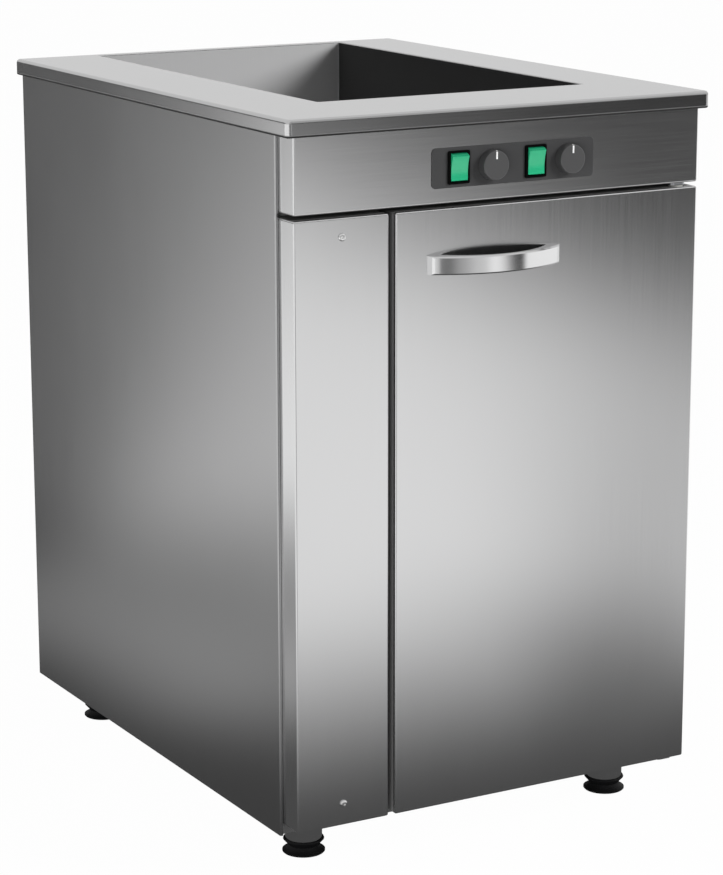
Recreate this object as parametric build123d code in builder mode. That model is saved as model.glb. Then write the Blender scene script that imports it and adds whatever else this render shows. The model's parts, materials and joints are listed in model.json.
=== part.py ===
from build123d import *
import os
from math import cos, radians, sin, sqrt

os.makedirs("parts", exist_ok=True)

# Sizes in millimetres. X runs to the right along the front, Y to the back, Z up.

# Worktop and sheet metal
worktop_width = 573
worktop_depth = 765
working_height = 900
worktop_edge = 20.5  # height of the folded edge
worktop_bend = 4.5
worktop_corner = 6
lip_bend = 2  # under the folded edge
lip_gap = 0.5  # between the lip and the side panels
sheet = 1.5  # outer panels, frame and tub
liner_sheet = 1.0  # cupboard lining
panel_corner = 2.5  # rounded corners of the front panels
panel_bend = 2
side_bend = 5  # rear bend of the side panels
flange_bend = 2  # front bend of the side panels

# How far the worktop reaches past what is below it
front_overhang = 7  # past the face of the front panels
panel_side_overhang = 11  # past the ends of the front panels
body_side_overhang = 7  # past the side panels
rear_overhang = 3  # past the rear bend of the side panels

# Carcass
body_bottom = 48.2
base_fold = 9.1  # height of the base panel's folded edge
base_skirt = 1.2  # how much lower its front edge reaches
body_setback = 36  # front panels' face to the side panels' front edge
panel_depth = 43.5  # front panels' face to the front frame
left_flange = 3.7  # the left side panel's front edge, turned inward
right_flange = 3  # narrower, because the door swings past it
rear_flange = 18
rear_panel_margin = 6

# Front panels
panel_bottom = 62
service_width = 122.5
door_gap = 9  # between the service panel and the door
panel_gap = 5.5  # between the control panel and what is below it
control_height = 107.5  # control panel, up to the worktop's underside
service_screw_inset = 22
service_screw_head = 4.8  # radius
service_screw_shank = 2.45
service_bracket_width = 30
service_bracket_height = 24
service_window_margin = 14
service_window_end = 50

# Well
well_width = 370
well_front_rim = 135.5
well_rear_rim = 16.5
well_left_rim = 112.5
well_depth = 175
well_corner = 3
well_floor_radius = 2.8
opening_round = 1.2
drain_flange = 23
drain_body = 16
drain_spigot = 11
drain_seat = 12
drain_seat_depth = 16
drain_offset = 28  # sideways step of the drain pipe
drain_pipe_radius = 12.5
drain_tail_radius = 11.5
drain_tail_length = 28
drain_tail_end = 22  # height over the floor
standpipe_height = 120  # over the well's floor
standpipe_wall = 1.5
false_bottom_height = 25
perforation = 5
perforation_pitch = 34

# Well heater and thermostat bulbs
element_radius = 4.25
element_pitch = 84
element_runs = 4
clamp_width = 20
clamp_sheet = 2
bulb_radius = 3.25
bulb_length = 90
capillary_radius = 1.0
capillary_bend = 14
contact_gap = 0.2  # round pieces that lie on a flat one

# Cupboard
cupboard_left_inset = 28  # from the door's free edge
cupboard_right_inset = 43.5  # from the door's hinge edge
cupboard_floor_height = 90
under_well = 47.5  # free height between the well and the cupboard's insulation
cupboard_rear_gap = 53  # to the side panels' rear bend
top_insulation = 25
left_insulation = 25
insulation_lap = 10  # top slab over the left one
shelf_height = 270  # over the cupboard's floor
runner_width = 10
runner_height = 25
shelf_slot = 12
shelf_slot_pitch = 40
cover_height = 34
cover_gap = 8
hairpin_radius = 4
hairpin_bend = 30
hairpin_half = 150  # half the distance between its two legs
hairpin_height = 15
hairpin_tail = 22  # past the partition

# Door
door_depth = 34
hinge_inset = 20.5  # pivot from the door's right edge
hinge_depth = 16  # pivot from the door's face
hinge_plate = 3
hinge_half_width = 11
hinge_front = 6  # plate in front of the pivot
hinge_flange = 35
hinge_tail = 30
pin_radius = 4
pin_depth = 20
bushing_radius = 6
bushing_flange = 9
gasket_width = 12
gasket_margin = 6  # opening edge to the gasket
insulation_gap = 3
magnet_size = (44, 16)
magnet_thickness = 8.2
magnet_from_edge = 44
magnet_over_opening = 65
strike_sheet = 1.0

# Handle
handle_centre = 131.5  # from the door's free edge
handle_drop = 64  # from the door's top edge
handle_half_length = 89.7
handle_end = 8  # how far its front edge stands off at the ends
handle_end_slope = 3.2
handle_reach = 33
handle_thickness = 5.5
handle_grip_half = 72
handle_height = 21.5
handle_chamfer = 1.8
handle_screw = 2.4
handle_screw_head = 4.5
handle_screw_length = 10

# Controls
plate_width = 221
plate_height = 46.5
plate_sheet = 1.0
plate_corner = 5.5
plate_offset = 13  # right of the middle
control_level = 41  # over the control panel's lower edge
switch_offsets = (-75, 29.5)
knob_offsets = (-29.8, 75.2)
bezel_size = (29.2, 38.4)
bezel_height = 2.5
bezel_corner = 2
switch_body = (26, 36.4)
switch_depth = 24
rocker_width = 22
rocker_radius = 16.6
rocker_front = 9.5
rocker_back = 3
rocker_dish = 60
rocker_pivot = 4  # behind the control plate's face
rocker_tilt = 7
rocker_pin = 1.5
rocker_pin_length = 1.1
rocker_clearance = 0.4
knob_radius = 17.9
knob_face_radius = 16.9
knob_height = 10.5
knob_round = 1.4
knob_gap = 0.4
spindle_radius = 3
spindle_grip = 8  # inside the knob
thermostat_size = 34
thermostat_depth = 28
bush_radius = 5

# Legs and feet
leg_radius = 22.5
leg_wall = 1.5
leg_bottom = 18
leg_plate = 12
leg_from_side = 60.5
leg_from_front = 55
leg_from_rear = 82
foot_radius = 26
foot_neck = 18.5
foot_neck_height = 9
foot_dish = 25
stud_radius = 5

# Electrical pieces
gland_from_rear = 39
gland_from_leg = 13  # to the left of the leg's axis
gland_bore = 5
gland_thread = 8
gland_hex = 13
gland_dome = 10
terminal_size = (18, 84, 24)
terminal_from_frame = 120
terminal_height = 200  # over the cupboard's floor

# Fits
running_gap = 0.05  # radial, for what turns or slides in a bore
stop_gap = 0.3  # between faces that meet when something moves
hole_gap = 0.3  # radial, round a fixed screw or pipe

# Places worked out from the sizes
half_width = worktop_width / 2
handle_beyond = handle_reach - front_overhang
worktop_rear = (worktop_depth + handle_beyond) / 2
worktop_front = worktop_rear - worktop_depth
panel_face = worktop_front + front_overhang
body_front = panel_face + body_setback
frame_face = panel_face + panel_depth
frame_back = frame_face + sheet
body_rear = worktop_rear - rear_overhang
body_half = half_width - body_side_overhang
inner_half = body_half - sheet
panel_half = half_width - panel_side_overhang
underside = working_height - sheet
side_top = working_height - worktop_bend  # below the worktop's bend
worktop_middle = (worktop_front + worktop_rear) / 2
base_top = body_bottom + base_fold
base_under = base_top - sheet
control_bottom = underside - control_height
door_top = control_bottom - panel_gap
service_right = -panel_half + service_width
door_left = service_right + door_gap
door_back = panel_face + door_depth
pivot_x = panel_half - hinge_inset
pivot_y = panel_face + hinge_depth

well_front = worktop_front + well_front_rim
well_rear = worktop_rear - well_rear_rim
well_length = well_rear - well_front
well_offset = well_left_rim + well_width / 2 - half_width  # right of the middle
well_middle = (well_front + well_rear) / 2
well_floor = working_height - well_depth
tub_under = well_floor - sheet
drain_x = well_offset - well_width / 2 + well_floor_radius + drain_flange + 1
drain_y = well_rear - well_floor_radius - drain_flange - 1

cupboard_right = panel_half - cupboard_right_inset
cupboard_left = door_left + cupboard_left_inset
cupboard_width = cupboard_right - cupboard_left
cupboard_top = tub_under - under_well - top_insulation - liner_sheet
cupboard_height = cupboard_top - cupboard_floor_height
cupboard_rear = body_rear - cupboard_rear_gap
liner_left = cupboard_left - liner_sheet
liner_right = cupboard_right + liner_sheet
liner_rear = cupboard_rear + liner_sheet
liner_bottom = cupboard_floor_height - liner_sheet
liner_top = cupboard_top + liner_sheet
partition_right = liner_left - left_insulation
partition_left = partition_right - sheet
shelf_level = cupboard_floor_height + shelf_height

plate_front = panel_face - plate_sheet
control_z = control_bottom + control_level
switch_xs = [plate_offset + offset_x for offset_x in switch_offsets]
knob_xs = [plate_offset + offset_x for offset_x in knob_offsets]
knob_back = plate_front - knob_gap
handle_x = door_left + handle_centre
handle_z = door_top - handle_drop
service_screw_x = (-panel_half + service_right) / 2
service_screw_zs = [panel_bottom + service_screw_inset + 4.5, door_top - service_screw_inset]
leg_x = body_half - leg_from_side
leg_ys = [body_front + leg_from_front, body_rear - leg_from_rear]


def save(piece, name):
    """Label a finished piece and write it to its own file."""
    piece.part.label = name
    export_step(piece.part, f"parts/{name}.step")


def block(x, y, z, mode=Mode.ADD):
    """A box between two limits along each axis, in the part being built."""
    with Locations(((x[0] + x[1]) / 2, (y[0] + y[1]) / 2, (z[0] + z[1]) / 2)):
        Box(x[1] - x[0], y[1] - y[0], z[1] - z[0], mode=mode)


def rod(radius, x, y, z, mode=Mode.ADD):
    """A cylinder along the one axis that is given as two limits."""
    spans = [limits if isinstance(limits, (tuple, list)) else None for limits in (x, y, z)]
    along = [index for index, span in enumerate(spans) if span][0]
    middle = [sum(span) / 2 if span else place for span, place in zip(spans, (x, y, z))]
    direction = [(1, 0, 0), (0, 1, 0), (0, 0, 1)][along]
    with Locations(Plane(origin=middle, z_dir=direction)):
        Cylinder(radius, spans[along][1] - spans[along][0], mode=mode)


def front_plane(y):
    """Upright plane at depth y, seen from the front."""
    return Plane.XZ.offset(-y)


def fold_pan(pan, x, z, depth):
    """Folded front panel: a face with returns on all sides, open at the back."""
    middle = ((x[0] + x[1]) / 2, (z[0] + z[1]) / 2)
    width = x[1] - x[0]
    height = z[1] - z[0]
    with BuildSketch(front_plane(panel_face)) as outside:
        with Locations(middle):
            RectangleRounded(width, height, panel_corner)
    extrude(outside.sketch, amount=-depth)
    fillet(pan.faces().sort_by(Axis.Y)[0].edges(), panel_bend)
    back_y = panel_face + sheet
    with BuildSketch(front_plane(back_y)) as inside:
        with Locations(middle):
            RectangleRounded(width - 2 * sheet, height - 2 * sheet, panel_corner - sheet)
    extrude(inside.sketch, amount=-(depth - sheet), mode=Mode.SUBTRACT)
    fillet(pan.edges().filter_by_position(Axis.Y, back_y - 0.01, back_y + 0.01), panel_bend - sheet)


def tube_along(points, bends, radius, bore=0):
    """A round rod or tube along straight runs joined by arcs."""
    with BuildLine() as route:
        FilletPolyline(*points, radius=bends)
    with BuildSketch(Plane(origin=route.line @ 0, z_dir=route.line % 0)) as section:
        Circle(radius)
        if bore:
            Circle(bore, mode=Mode.SUBTRACT)
    sweep(section.sketch, path=route.line)


# Worktop: one sheet with folded edges and the well's cut-out
edge_bottom = working_height - worktop_edge
lip_top = edge_bottom + sheet
with BuildPart() as worktop:
    with BuildSketch(Plane.XY.offset(edge_bottom)):
        with Locations((0, worktop_middle)):
            RectangleRounded(worktop_width, worktop_depth, worktop_corner)
    extrude(amount=worktop_edge)
    fillet(worktop.faces().sort_by(Axis.Z)[-1].edges(), worktop_bend)
    fillet(worktop.faces().sort_by(Axis.Z)[0].edges(), lip_bend)
    with BuildSketch(Plane.XY.offset(lip_top)):
        with Locations((0, worktop_middle)):
            RectangleRounded(worktop_width - 2 * sheet, worktop_depth - 2 * sheet, worktop_corner - sheet)
    extrude(amount=underside - lip_top, mode=Mode.SUBTRACT)
    fillet(worktop.edges().filter_by_position(Axis.Z, underside - 0.01, underside + 0.01),
           worktop_bend - sheet)
    # The lip turns inward under the edge and stops short of the panels
    block((-body_half - lip_gap, body_half + lip_gap), (panel_face - 2 * lip_gap, body_rear + lip_gap),
          (edge_bottom, lip_top), mode=Mode.SUBTRACT)
    with BuildSketch(Plane.XY.offset(underside)):
        with Locations((well_offset, well_middle)):
            RectangleRounded(well_width, well_length, well_corner)
    extrude(amount=sheet, mode=Mode.SUBTRACT)
    rim = worktop.faces().filter_by(Plane.XY).sort_by(Axis.Z)[-1].inner_wires()[0]
    fillet(rim.edges(), opening_round)
save(worktop, "worktop")

# Well: a welded tub that hangs under the cut-out
with BuildPart() as well_tub:
    with BuildSketch(Plane.XY.offset(tub_under)):
        with Locations((well_offset, well_middle)):
            RectangleRounded(well_width + 2 * sheet, well_length + 2 * sheet, well_corner + sheet)
    extrude(amount=underside - tub_under)
    fillet(well_tub.faces().sort_by(Axis.Z)[0].edges(), well_floor_radius + sheet)
    with BuildSketch(Plane.XY.offset(well_floor)):
        with Locations((well_offset, well_middle)):
            RectangleRounded(well_width, well_length, well_corner)
    extrude(amount=underside - well_floor, mode=Mode.SUBTRACT)
    fillet(well_tub.edges().filter_by_position(Axis.Z, well_floor - 0.01, well_floor + 0.01),
           well_floor_radius)
    rod(drain_body + hole_gap, drain_x, drain_y, (tub_under, well_floor), mode=Mode.SUBTRACT)
save(well_tub, "well_tub")

# Drain: flanged fitting, its nut, and the pipe that steps aside and goes down through the base
drain_flange_sheet = 2
drain_thread_end = well_floor - 18
drain_spigot_end = drain_thread_end - 12
seat_floor = well_floor + drain_flange_sheet - drain_seat_depth
with BuildPart() as drain_fitting:
    rod(drain_flange, drain_x, drain_y, (well_floor, well_floor + drain_flange_sheet))
    rod(drain_body, drain_x, drain_y, (drain_thread_end, well_floor))
    rod(drain_spigot, drain_x, drain_y, (drain_spigot_end, drain_thread_end))
    rod(drain_spigot - 2, drain_x, drain_y, (drain_spigot_end, seat_floor), mode=Mode.SUBTRACT)
    rod(drain_seat, drain_x, drain_y, (seat_floor, well_floor + drain_flange_sheet), mode=Mode.SUBTRACT)
    flange_rim = drain_fitting.faces().sort_by(Axis.Z)[-1].outer_wire()
    fillet(flange_rim.edges(), drain_flange_sheet / 2)
save(drain_fitting, "drain_fitting")

drain_nut_height = 7
with BuildPart() as drain_nut:
    with BuildSketch(Plane.XY.offset(tub_under - drain_nut_height)):
        with Locations((drain_x, drain_y)):
            RegularPolygon(drain_flange, 6, major_radius=False)
            Circle(drain_body, mode=Mode.SUBTRACT)
    extrude(amount=drain_nut_height)
save(drain_nut, "drain_nut")

drain_step_top = drain_spigot_end - 9
drain_out_x = drain_x - drain_offset
drain_step_bottom = drain_step_top - drain_offset
tail_top = drain_tail_end + drain_tail_length
with BuildPart() as drain_pipe:
    tube_along([(drain_x, drain_y, drain_thread_end), (drain_x, drain_y, drain_step_top),
                (drain_out_x, drain_y, drain_step_bottom), (drain_out_x, drain_y, tail_top)],
               drain_pipe_radius * 1.6, drain_pipe_radius, drain_spigot)
    tail_socket = tail_top + 10
    rod(drain_tail_radius, drain_out_x, drain_y, (drain_tail_end, tail_socket))
    rod(drain_tail_radius - 2, drain_out_x, drain_y, (drain_tail_end, tail_socket), mode=Mode.SUBTRACT)
save(drain_pipe, "drain_pipe")

# Standpipe: stands in the drain and sets the water level
standpipe_radius = drain_seat - running_gap
standpipe_top = well_floor + standpipe_height
with BuildPart() as standpipe:
    rod(standpipe_radius, drain_x, drain_y, (seat_floor + stop_gap, standpipe_top))
    rod(standpipe_radius + 3, drain_x, drain_y, (standpipe_top - 4, standpipe_top))
    rod(standpipe_radius - standpipe_wall, drain_x, drain_y, (seat_floor + stop_gap, standpipe_top),
        mode=Mode.SUBTRACT)
    fillet(standpipe.faces().sort_by(Axis.Z)[-1].outer_wire().edges(), 1.5)
save(standpipe, "standpipe")

# False bottom: perforated plate with folded legs
false_gap = well_floor_radius + 1
false_half = well_width / 2 - false_gap
false_front = well_front + false_gap
false_rear = well_rear - false_gap
false_level = well_floor + false_bottom_height
drain_clear = drain_y - standpipe_radius - 2 * perforation
hole_columns = int((2 * false_half - 2 * perforation) // perforation_pitch)
hole_rows = int((drain_clear - false_front - 2 * perforation) // perforation_pitch)
finger_hole = 14
with BuildPart() as false_bottom:
    block((well_offset - false_half, well_offset + false_half), (false_front, false_rear),
          (false_level - sheet, false_level))
    for leg_side in (-1, 1):
        leg_outside = well_offset + leg_side * false_half
        leg_inside = leg_outside - leg_side * sheet
        block(sorted((leg_outside, leg_inside)), (false_front, false_rear),
              (well_floor + stop_gap, false_level - sheet))
    with BuildSketch(Plane.XY.offset(false_level - sheet)):
        with Locations((well_offset, (false_front + drain_clear) / 2)):
            with GridLocations(perforation_pitch, perforation_pitch, hole_columns, hole_rows):
                Circle(perforation)
        with Locations((drain_x, drain_y)):
            Circle(standpipe_radius + 8)
        with Locations((well_offset, drain_y)):
            Circle(finger_hole)
    extrude(amount=sheet, mode=Mode.SUBTRACT)
    rod(drain_flange + 3, drain_x, drain_y, (well_floor, false_level - sheet), mode=Mode.SUBTRACT)
save(false_bottom, "false_bottom")

# Well heater: tubular element in runs under the floor, held by hat-shaped bars
element_z = tub_under - contact_gap - element_radius
element_front = well_front + 60
element_rear = drain_y - drain_flange - 60
element_points = []
for run in range(element_runs):
    run_x = well_offset + (run - (element_runs - 1) / 2) * element_pitch
    ends = [element_rear, element_front] if run % 2 == 0 else [element_front, element_rear]
    element_points += [(run_x, end_y, element_z) for end_y in ends]
with BuildPart() as well_heater:
    tube_along(element_points, element_pitch * 0.45, element_radius)
save(well_heater, "well_heater")

clamp_top = element_z - element_radius - contact_gap
clamp_half = (element_runs - 1) / 2 * element_pitch + 3 * element_radius
clamp_foot = 14
with BuildPart() as well_heater_clamps:
    for clamp_y in (element_front + element_pitch, element_rear - element_pitch):
        clamp_span = (clamp_y - clamp_width / 2, clamp_y + clamp_width / 2)
        block((well_offset - clamp_half, well_offset + clamp_half), clamp_span,
              (clamp_top - clamp_sheet, clamp_top))
        for side in (-1, 1):
            inner = well_offset + side * (clamp_half - clamp_sheet)
            outer = well_offset + side * clamp_half
            foot = well_offset + side * (clamp_half + clamp_foot)
            block(sorted((inner, outer)), clamp_span, (clamp_top - clamp_sheet, tub_under))
            block(sorted((inner, foot)), clamp_span, (tub_under - clamp_sheet, tub_under))
save(well_heater_clamps, "well_heater_clamps")

# Side panels: flat sheet with a flange turned inward at the front and another at the rear
for side, flange, name in ((-1, left_flange, "left_side_panel"), (1, right_flange, "right_side_panel")):
    with BuildPart() as side_panel:
        outline = [
            (side * body_half, body_front), (side * body_half, body_rear),
            (side * (body_half - rear_flange), body_rear),
            (side * (body_half - rear_flange), body_rear - sheet),
            (side * inner_half, body_rear - sheet), (side * inner_half, body_front + sheet),
            (side * (body_half - flange), body_front + sheet),
            (side * (body_half - flange), body_front),
        ]
        with BuildSketch(Plane.XY.offset(body_bottom)):
            with BuildLine():
                Polyline(*outline, close=True)
            make_face()
        extrude(amount=side_top - body_bottom)
        uprights = side_panel.edges().filter_by(Axis.Z)
        front_edges = uprights.group_by(Axis.Y)[0]
        rear_edges = uprights.group_by(Axis.Y)[-1]
        flange_edge = front_edges.sort_by(lambda edge: abs(edge.center().X))[-1]
        bend_edge = rear_edges.sort_by(lambda edge: abs(edge.center().X))[-1]
        fillet(flange_edge, flange_bend)
        fillet(bend_edge, side_bend)
    save(side_panel, name)

# Base panel: shallow tray turned upside down, with the drain's and the cable's holes
gland_x = -leg_x - gland_from_leg
gland_y = body_rear - gland_from_rear
with BuildPart() as base_panel:
    block((-inner_half, inner_half), (frame_face, body_rear - sheet), (body_bottom, base_top))
    block((-inner_half + sheet, inner_half - sheet),
          (frame_face + sheet, body_rear - 2 * sheet), (body_bottom, base_under), mode=Mode.SUBTRACT)
    block((-inner_half, inner_half), (frame_face, frame_back), (body_bottom - base_skirt, body_bottom))
    rod(drain_pipe_radius + hole_gap, drain_out_x, drain_y, (base_under, base_top), mode=Mode.SUBTRACT)
    rod(gland_thread + hole_gap, gland_x, gland_y, (base_under, base_top), mode=Mode.SUBTRACT)
save(base_panel, "base_panel")

# Front frame: sheet behind the front panels, with the cupboard's opening and the service window
hinge_top_low = door_top + (panel_gap - hinge_plate) / 2
hinge_top_high = hinge_top_low + hinge_plate
hinge_low_top = base_top + hinge_plate
hinge_x = (pivot_x - hinge_half_width, pivot_x + hinge_half_width)
slot_x = (hinge_x[0] - hole_gap, hinge_x[1] + hole_gap)
service_window = (-panel_half + service_window_margin, service_right - service_window_margin)
service_window_z = (service_screw_zs[0] + service_window_end, service_screw_zs[1] - service_window_end)
wire_window_half = 16
with BuildPart() as front_frame:
    block((-inner_half, inner_half), (frame_face, frame_back), (base_top, underside))
    through = (frame_face, frame_back)
    block((cupboard_left, cupboard_right), through, (cupboard_floor_height, cupboard_top),
          mode=Mode.SUBTRACT)
    block(service_window, through, service_window_z, mode=Mode.SUBTRACT)
    block((knob_xs[0] - wire_window_half, knob_xs[1] + wire_window_half), through,
          (control_z - wire_window_half, control_z + wire_window_half), mode=Mode.SUBTRACT)
    block(slot_x, through, (hinge_top_low - hole_gap, hinge_top_high + hole_gap), mode=Mode.SUBTRACT)
    block(slot_x, through, (base_top, hinge_low_top + hole_gap), mode=Mode.SUBTRACT)
    # Welded brackets that the service panel is screwed to
    bracket_x = (service_screw_x - service_bracket_width / 2, service_screw_x + service_bracket_width / 2)
    bracket_front = panel_face + sheet
    for screw_z in service_screw_zs:
        bracket_z = (screw_z - service_bracket_height / 2, screw_z + service_bracket_height / 2)
        block(bracket_x, (bracket_front, frame_face), bracket_z)
        block((bracket_x[0] + sheet, bracket_x[1] - sheet), (bracket_front + sheet, frame_face), bracket_z,
              mode=Mode.SUBTRACT)
        rod(service_screw_shank, service_screw_x, (bracket_front, bracket_front + sheet), screw_z,
            mode=Mode.SUBTRACT)
save(front_frame, "front_frame")

# Cupboard lining
hairpin_ys = [(frame_back + cupboard_rear) / 2 + place for place in (-hairpin_half, hairpin_half)]
hairpin_z = cupboard_floor_height + hairpin_height
lining_y = (frame_back, cupboard_rear)
with BuildPart() as cupboard_floor:
    block((liner_left, liner_right), lining_y, (liner_bottom, cupboard_floor_height))
save(cupboard_floor, "cupboard_floor")

sensor_x = knob_xs[1]
sensor_drop_y = frame_back + 40
with BuildPart() as cupboard_ceiling:
    block((liner_left, liner_right), lining_y, (cupboard_top, liner_top))
    rod(capillary_radius + hole_gap, sensor_x, sensor_drop_y, (cupboard_top, liner_top), mode=Mode.SUBTRACT)
save(cupboard_ceiling, "cupboard_ceiling")

with BuildPart() as cupboard_left_wall:
    block((liner_left, cupboard_left), lining_y, (cupboard_floor_height, cupboard_top))
    for leg_y in hairpin_ys:
        rod(hairpin_radius + hole_gap, (liner_left, cupboard_left), leg_y, hairpin_z, mode=Mode.SUBTRACT)
save(cupboard_left_wall, "cupboard_left_wall")

with BuildPart() as cupboard_right_wall:
    block((cupboard_right, liner_right), lining_y, (cupboard_floor_height, cupboard_top))
save(cupboard_right_wall, "cupboard_right_wall")

with BuildPart() as cupboard_back_wall:
    block((liner_left, liner_right), (cupboard_rear, liner_rear), (liner_bottom, liner_top))
save(cupboard_back_wall, "cupboard_back_wall")

# Service partition: closes the cupboard's insulation off from the service space
with BuildPart() as service_partition:
    block((partition_left, partition_right), (frame_back, body_rear - sheet), (base_top, liner_top))
    for leg_y in hairpin_ys:
        rod(hairpin_radius + hole_gap, (partition_left, partition_right), leg_y, hairpin_z,
            mode=Mode.SUBTRACT)
save(service_partition, "service_partition")

# Insulation slabs round the cupboard, clear of the lower hinge plate
slab_bottom = hinge_low_top + hole_gap
with BuildPart() as cupboard_insulation:
    block((partition_right, liner_left), (frame_back, liner_rear), (slab_bottom, liner_top))
    for leg_y in hairpin_ys:
        rod(hairpin_radius + hole_gap, (partition_right, liner_left), leg_y, hairpin_z, mode=Mode.SUBTRACT)
    block((liner_right, inner_half), (frame_back, liner_rear), (slab_bottom, liner_top))
    block((liner_left, liner_right), (frame_back, liner_rear), (slab_bottom, liner_bottom))
    block((partition_right, inner_half), (liner_rear, body_rear - sheet), (slab_bottom, liner_top))
    block((liner_left - insulation_lap, inner_half), (frame_back, body_rear - sheet),
          (liner_top, liner_top + top_insulation))
    rod(capillary_radius + hole_gap, sensor_x, sensor_drop_y, (liner_top, liner_top + top_insulation),
        mode=Mode.SUBTRACT)
save(cupboard_insulation, "cupboard_insulation")

# Cupboard heater: hairpin element on the floor, with its ends in the service space
hairpin_far = cupboard_right - 60
hairpin_near = partition_left - hairpin_tail
with BuildPart() as cupboard_heater:
    tube_along([(hairpin_near, hairpin_ys[0], hairpin_z), (hairpin_far, hairpin_ys[0], hairpin_z),
                (hairpin_far, hairpin_ys[1], hairpin_z), (hairpin_near, hairpin_ys[1], hairpin_z)],
               hairpin_bend, hairpin_radius)
save(cupboard_heater, "cupboard_heater")

# Cover over it: slotted tray standing on its folded front and rear edges
cover_x = (cupboard_left + cover_gap, cupboard_right - cover_gap)
cover_y = (frame_back + cover_gap, cupboard_rear - cover_gap)
cover_z = (cupboard_floor_height, cupboard_floor_height + cover_height)
cover_slot_length = cover_x[1] - cover_x[0] - 60
cover_slots = int((cover_y[1] - cover_y[0] - shelf_slot_pitch) // shelf_slot_pitch)
with BuildPart() as cupboard_heater_cover:
    block(cover_x, cover_y, cover_z)
    block(cover_x, (cover_y[0] + liner_sheet, cover_y[1] - liner_sheet),
          (cover_z[0], cover_z[1] - liner_sheet), mode=Mode.SUBTRACT)
    with BuildSketch(Plane.XY.offset(cover_z[1] - liner_sheet)):
        with Locations((sum(cover_x) / 2, sum(cover_y) / 2)):
            with GridLocations(0, shelf_slot_pitch, 1, cover_slots):
                SlotOverall(cover_slot_length, shelf_slot)
    extrude(amount=liner_sheet, mode=Mode.SUBTRACT)
save(cupboard_heater_cover, "cupboard_heater_cover")

# Shelf on a pair of angle runners
shelf_x = (cupboard_left + sheet + 2, cupboard_right - sheet - 2)
shelf_y = (frame_back + cover_gap, cupboard_rear - cover_gap)
shelf_slot_length = (shelf_x[1] - shelf_x[0]) / 2 - 2 * runner_width - 10
shelf_slots = int((shelf_y[1] - shelf_y[0] - shelf_slot_pitch) // shelf_slot_pitch)
with BuildPart() as shelf_runners:
    for side, wall_x in ((1, cupboard_left), (-1, cupboard_right)):
        upright = sorted((wall_x, wall_x + side * sheet))
        tread = sorted((wall_x, wall_x + side * runner_width))
        block(upright, shelf_y, (shelf_level - runner_height, shelf_level))
        block(tread, shelf_y, (shelf_level - sheet, shelf_level))
save(shelf_runners, "shelf_runners")

with BuildPart() as shelf:
    block(shelf_x, shelf_y, (shelf_level, shelf_level + sheet))
    with BuildSketch(Plane.XY.offset(shelf_level)):
        with Locations((sum(shelf_x) / 2, sum(shelf_y) / 2)):
            with GridLocations(shelf_slot_length + 14, shelf_slot_pitch, 2, shelf_slots):
                SlotOverall(shelf_slot_length, shelf_slot)
    extrude(amount=sheet, mode=Mode.SUBTRACT)
save(shelf, "shelf")

# Rear panel and its screws, over the side panels' rear flanges
rear_half = body_half - rear_panel_margin
rear_z = (body_bottom + rear_panel_margin, working_height - worktop_edge - rear_panel_margin)
rear_screw_x = body_half - rear_flange / 2 - 1
rear_screw_zs = [rear_z[0] + 30 + step * (rear_z[1] - rear_z[0] - 60) / 3 for step in range(4)]
rear_screw_places = [(side * rear_screw_x, screw_z) for side in (-1, 1) for screw_z in rear_screw_zs]
rear_screw_shank = 2
rear_screw_head = 4
rear_screw_height = 1.4
vent_slots = 8
vent_pitch = 14
with BuildPart() as rear_panel:
    block((-rear_half, rear_half), (body_rear, body_rear + sheet), rear_z)
    with BuildSketch(front_plane(body_rear)):
        with Locations(*rear_screw_places):
            Circle(rear_screw_shank)
        with Locations((service_screw_x, tub_under - 60)):
            with GridLocations(0, vent_pitch, 1, vent_slots):
                SlotOverall(service_width - 40, 5)
    extrude(amount=-sheet, mode=Mode.SUBTRACT)
save(rear_panel, "rear_panel")

with BuildPart() as rear_panel_screws:
    for screw_x, screw_z in rear_screw_places:
        rod(rear_screw_shank, screw_x, (body_rear, body_rear + sheet), screw_z)
        rod(rear_screw_head, screw_x, (body_rear + sheet, body_rear + sheet + rear_screw_height), screw_z)
    heads = rear_panel_screws.faces().filter_by(Axis.Y).group_by(Axis.Y)[-1]
    fillet(heads.edges(), rear_screw_height * 0.6)
save(rear_panel_screws, "rear_panel_screws")

# Control panel and its dark plate
plate_x = (plate_offset - plate_width / 2, plate_offset + plate_width / 2)
plate_z = (control_z - plate_height / 2, control_z + plate_height / 2)
with BuildPart() as control_panel:
    fold_pan(control_panel, (-panel_half, panel_half), (control_bottom, underside), panel_depth)
    with BuildSketch(front_plane(panel_face)):
        with Locations(*[(switch_x, control_z) for switch_x in switch_xs]):
            Rectangle(switch_body[0] + 2 * hole_gap, switch_body[1] + 2 * hole_gap)
        with Locations(*[(knob_x, control_z) for knob_x in knob_xs]):
            Circle(bush_radius + hole_gap)
    extrude(amount=-sheet, mode=Mode.SUBTRACT)
save(control_panel, "control_panel")

with BuildPart() as control_plate:
    with BuildSketch(front_plane(panel_face)):
        with Locations((plate_offset, control_z)):
            RectangleRounded(plate_width, plate_height, plate_corner)
        with Locations(*[(switch_x, control_z) for switch_x in switch_xs]):
            Rectangle(switch_body[0] + 2 * hole_gap, switch_body[1] + 2 * hole_gap, mode=Mode.SUBTRACT)
        with Locations(*[(knob_x, control_z) for knob_x in knob_xs]):
            Circle(bush_radius + hole_gap, mode=Mode.SUBTRACT)
    extrude(amount=plate_sheet)
    fillet(control_plate.faces().sort_by(Axis.Y)[0].outer_wire().edges(), plate_sheet * 0.4)
save(control_plate, "control_plate")

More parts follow.
